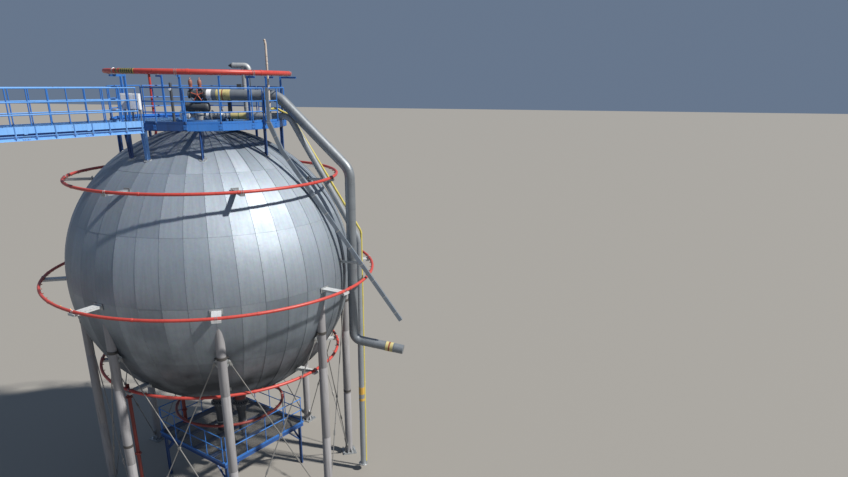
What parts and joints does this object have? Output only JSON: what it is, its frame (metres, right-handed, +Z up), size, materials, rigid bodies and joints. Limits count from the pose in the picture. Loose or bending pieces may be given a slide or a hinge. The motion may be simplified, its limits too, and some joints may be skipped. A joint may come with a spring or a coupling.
{
  "type": "spherical gas tank",
  "caption": "Insulated spherical gas tank on round legs with crossed rods, a railed top platform and bridge, red spray rings, relief pipes and a bottom service platform.",
  "frame": {"origin": "middle of the tank's bounding box at ground level, under the leg base plates", "axes": "+Z up; +Y away from the side that the picture was taken from; the bridge leaves towards -X and -Y"},
  "size_m": [14.0704, 14.0066, 18.04],
  "materials": {
    "cladding": "rolled cladding sheet, weathered",
    "leg_paint": "dull grey fireproof coat",
    "red_paint": "faded red paint",
    "blue_paint": "blue paint",
    "pale_blue_paint": "sun-bleached blue paint",
    "yellow_paint": "faded yellow paint",
    "galvanised": "galvanised sheet",
    "dark_paint": "dark paint",
    "white_paint": "white paint",
    "rod_steel": "grey painted rod"
  },
  "bodies": {
    "root": {"shell_bottom_cap": "cladding", "shell_lower_zone": "cladding", "shell_under_equator": "cladding", "shell_over_equator": "cladding", "shell_upper_zone": "cladding", "shell_top_cap": "cladding", "column_1": "leg_paint", "tie_rods_1": "rod_steel", "column_2": "leg_paint", "tie_rods_2": "rod_steel", "column_3": "leg_paint", "tie_rods_3": "rod_steel", "column_4": "leg_paint", "tie_rods_4": "rod_steel", "column_5": "leg_paint", "tie_rods_5": "rod_steel", "column_6": "leg_paint", "tie_rods_6": "rod_steel", "column_7": "leg_paint", "tie_rods_7": "rod_steel", "column_8": "leg_paint", "tie_rods_8": "rod_steel", "spray_ring_1": "red_paint", "spray_ring_2": "red_paint", "spray_ring_3": "red_paint", "spray_ring_4": "red_paint", "spray_ring_5": "red_paint", "upper_spray_riser": "red_paint", "lower_spray_riser": "red_paint", "platform_frame": "blue_paint", "platform_deck": "blue_paint", "platform_railing_1": "blue_paint", "service_railing_1": "blue_paint", "platform_railing_2": "blue_paint", "service_railing_2": "blue_paint", "platform_railing_3": "blue_paint", "service_railing_3": "blue_paint", "platform_railing_4": "blue_paint", "service_railing_4": "blue_paint", "bridge_deck": "pale_blue_paint", "bridge_girder_near": "pale_blue_paint", "bridge_girder_far": "pale_blue_paint", "bridge_railing_near": "pale_blue_paint", "bridge_railing_far": "pale_blue_paint", "service_platform": "blue_paint", "bottom_nozzle_left": "dark_paint", "bottom_nozzle_right": "dark_paint", "top_nozzle": "galvanised", "relief_header": "dark_paint", "changeover_valve": "dark_paint", "relief_valve_left": "red_paint", "relief_valve_right": "red_paint", "relief_pipe": "galvanised", "drain_pipe": "galvanised", "vent_line": "yellow_paint", "cable_duct": "galvanised", "goose_neck_vent": "galvanised", "cabinet_left": "white_paint", "cabinet_right": "white_paint", "instrument_post": "dark_paint"}
  },
  "joints": []
}
